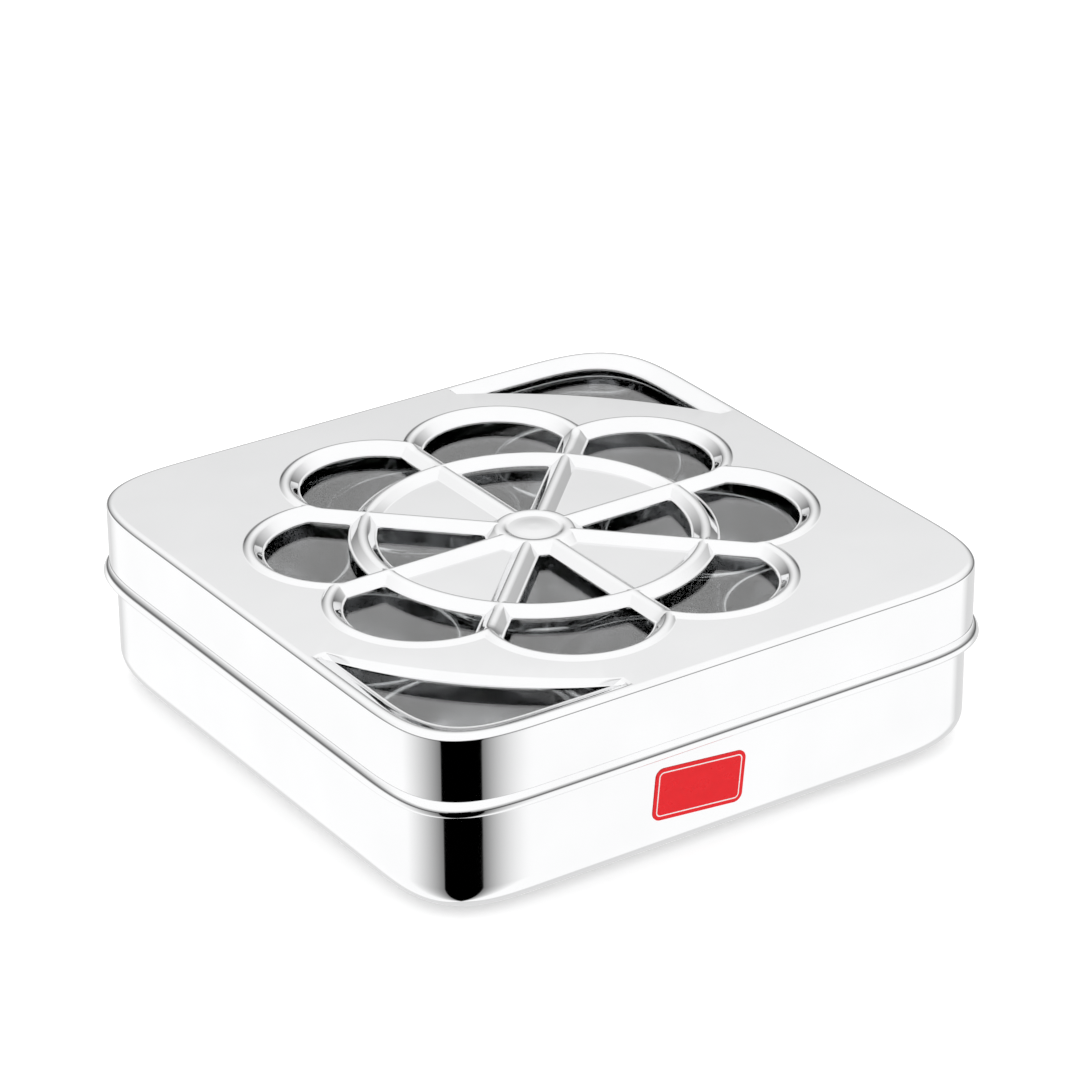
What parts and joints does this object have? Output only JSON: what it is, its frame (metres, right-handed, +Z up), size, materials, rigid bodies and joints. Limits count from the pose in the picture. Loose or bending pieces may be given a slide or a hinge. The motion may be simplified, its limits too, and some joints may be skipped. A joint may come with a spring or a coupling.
{
  "type": "spice box",
  "caption": "Low square stainless-steel spice box with rounded corners: a pan of small round bowls under a lift-off lid pressed with a flower of clear windows.",
  "frame": {"origin": "centre of the underside of the pan", "axes": "+Z up; -Y is the front wall, the one with the label; the corner windows are at the -X -Y and +X +Y corners"},
  "size_m": [0.2236, 0.2236, 0.066],
  "materials": {
    "polished_steel": "mirror polished stainless steel",
    "satin_steel": "spun and lightly polished stainless steel",
    "clear_acrylic": "clear, glossy",
    "red_vinyl": "glossy sticker"
  },
  "bodies": {
    "pan": {"base": "polished_steel", "label": "red_vinyl"},
    "lid": {"lid": "polished_steel", "window_pane": "clear_acrylic", "pane_channel": "satin_steel"},
    "bowl_front_left": {"bowl_front_left": "satin_steel"},
    "bowl_front_middle": {"bowl_front_middle": "satin_steel"},
    "bowl_front_right": {"bowl_front_right": "satin_steel"},
    "bowl_middle_left": {"bowl_middle_left": "satin_steel"},
    "bowl_centre": {"bowl_centre": "satin_steel"},
    "bowl_middle_right": {"bowl_middle_right": "satin_steel"},
    "bowl_back_left": {"bowl_back_left": "satin_steel"},
    "bowl_back_middle": {"bowl_back_middle": "satin_steel"},
    "bowl_back_right": {"bowl_back_right": "satin_steel"},
    "spoon": {"spoon": "satin_steel"}
  },
  "joints": [
    {"name": "lid_lift", "type": "slide", "parent": "pan", "child": "lid", "axis": [0, 0, 1], "range_m": [0, 0.12]},
    {"name": "bowl_front_left_lift", "type": "slide", "parent": "pan", "child": "bowl_front_left", "axis": [0, 0, 1], "range_m": [0, 0.0624]},
    {"name": "bowl_front_middle_lift", "type": "slide", "parent": "pan", "child": "bowl_front_middle", "axis": [0, 0, 1], "range_m": [0, 0.0624]},
    {"name": "bowl_front_right_lift", "type": "slide", "parent": "pan", "child": "bowl_front_right", "axis": [0, 0, 1], "range_m": [0, 0.0624]},
    {"name": "bowl_middle_left_lift", "type": "slide", "parent": "pan", "child": "bowl_middle_left", "axis": [0, 0, 1], "range_m": [0, 0.0624]},
    {"name": "bowl_centre_lift", "type": "slide", "parent": "pan", "child": "bowl_centre", "axis": [0, 0, 1], "range_m": [0, 0.0624]},
    {"name": "bowl_middle_right_lift", "type": "slide", "parent": "pan", "child": "bowl_middle_right", "axis": [0, 0, 1], "range_m": [0, 0.0624]},
    {"name": "bowl_back_left_lift", "type": "slide", "parent": "pan", "child": "bowl_back_left", "axis": [0, 0, 1], "range_m": [0, 0.0624]},
    {"name": "bowl_back_middle_lift", "type": "slide", "parent": "pan", "child": "bowl_back_middle", "axis": [0, 0, 1], "range_m": [0, 0.0624]},
    {"name": "bowl_back_right_lift", "type": "slide", "parent": "pan", "child": "bowl_back_right", "axis": [0, 0, 1], "range_m": [0, 0.0624]},
    {"name": "spoon_lift", "type": "slide", "parent": "pan", "child": "spoon", "axis": [0, 0, 1], "range_m": [0, 0.072]}
  ],
  "couplings": [
    {"joint": "bowl_front_left_lift", "follows": "lid_lift", "ratio": 0.52},
    {"joint": "bowl_front_middle_lift", "follows": "lid_lift", "ratio": 0.52},
    {"joint": "bowl_front_right_lift", "follows": "lid_lift", "ratio": 0.52},
    {"joint": "bowl_middle_left_lift", "follows": "lid_lift", "ratio": 0.52},
    {"joint": "bowl_centre_lift", "follows": "lid_lift", "ratio": 0.52},
    {"joint": "bowl_middle_right_lift", "follows": "lid_lift", "ratio": 0.52},
    {"joint": "bowl_back_left_lift", "follows": "lid_lift", "ratio": 0.52},
    {"joint": "bowl_back_middle_lift", "follows": "lid_lift", "ratio": 0.52},
    {"joint": "bowl_back_right_lift", "follows": "lid_lift", "ratio": 0.52},
    {"joint": "spoon_lift", "follows": "lid_lift", "ratio": 0.6}
  ]
}
